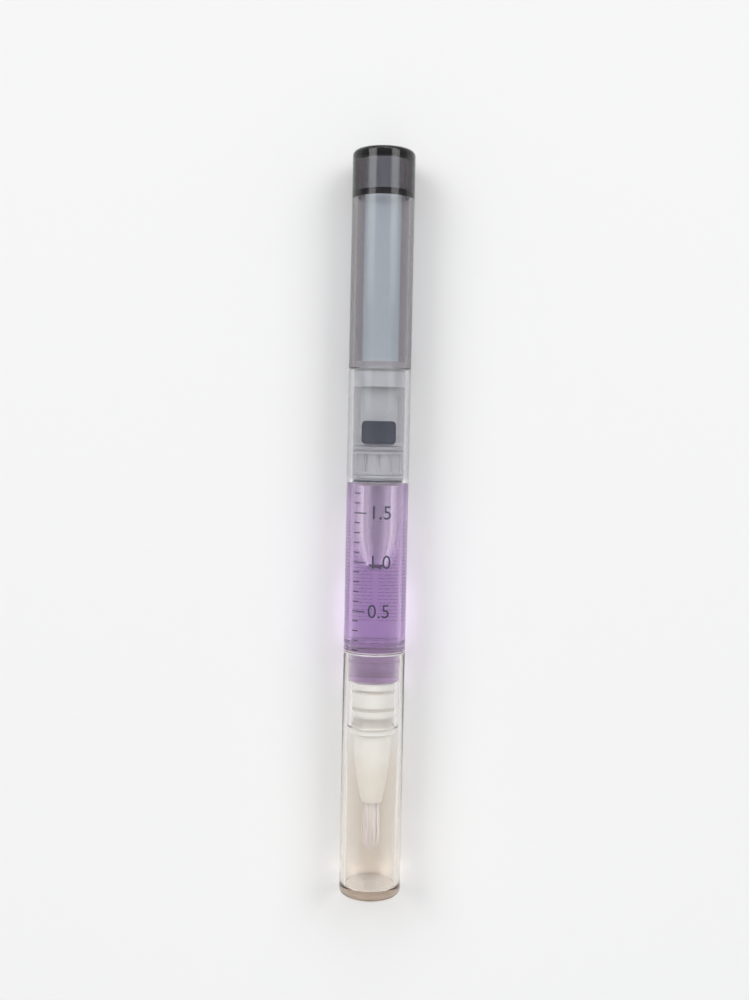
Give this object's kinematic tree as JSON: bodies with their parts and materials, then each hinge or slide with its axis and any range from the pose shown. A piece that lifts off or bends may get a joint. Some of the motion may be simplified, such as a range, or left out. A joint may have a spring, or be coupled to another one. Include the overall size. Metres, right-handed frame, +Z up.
{
  "type": "nail oil pen",
  "caption": "Clear twist-feed pen with a pull-off cap, a brush tip and a knob whose screw drives a piston through lavender nail oil",
  "frame": {"origin": "under the middle of the pen's length, on the surface that it lies on", "axes": "+Y along the pen from the cap to the knob, +Z up"},
  "size_m": [0.0104, 0.126, 0.0105],
  "materials": {
    "clear_cap": "clear gloss",
    "clear_barrel": "clear gloss",
    "smoke_clear": "smoky clear gloss",
    "lavender_oil": "clear liquid",
    "white_plastic": "satin",
    "frosted_plastic": "frosted",
    "core_plastic": "gloss",
    "nylon": "fibrous",
    "silicone": "soft matte",
    "spring_steel": "brushed"
  },
  "bodies": {
    "barrel": {"barrel": "clear_barrel", "oil_fill": "lavender_oil", "tip_plug": "white_plastic", "brush_cone": "white_plastic", "brush": "nylon", "brush_retainer": "white_plastic", "feed_tube": "white_plastic", "drive_nut": "frosted_plastic"},
    "cap": {"cap_shell": "clear_cap"},
    "knob": {"knob_shell": "smoke_clear", "drive_tube": "core_plastic", "click_ring": "spring_steel"},
    "piston": {"piston": "frosted_plastic", "front_piston_ring": "silicone", "rear_piston_ring": "silicone"},
    "screw": {"lead_screw": "white_plastic"}
  },
  "joints": [
    {"name": "cap_pull", "type": "slide", "parent": "barrel", "child": "cap", "axis": [0, -1, 0], "range_m": [0, 0.045]},
    {"name": "piston_feed", "type": "slide", "parent": "barrel", "child": "piston", "axis": [0, -1, 0], "range_m": [0, 0.026], "deforming": ["oil_fill"]},
    {"name": "knob_turn", "type": "hinge", "parent": "barrel", "child": "knob", "pos_m": [0, 0.028, 0.00525], "axis": [0, -1, 0], "range_deg": [0, 4681]},
    {"name": "screw_slide", "type": "slide", "parent": "knob", "child": "screw", "axis": [0, -1, 0], "range_m": [0, 0.02605]}
  ],
  "couplings": [
    {"joint": "knob_turn", "follows": "piston_feed", "rad_per_m": 3141.6},
    {"joint": "screw_slide", "follows": "piston_feed", "ratio": 1}
  ]
}
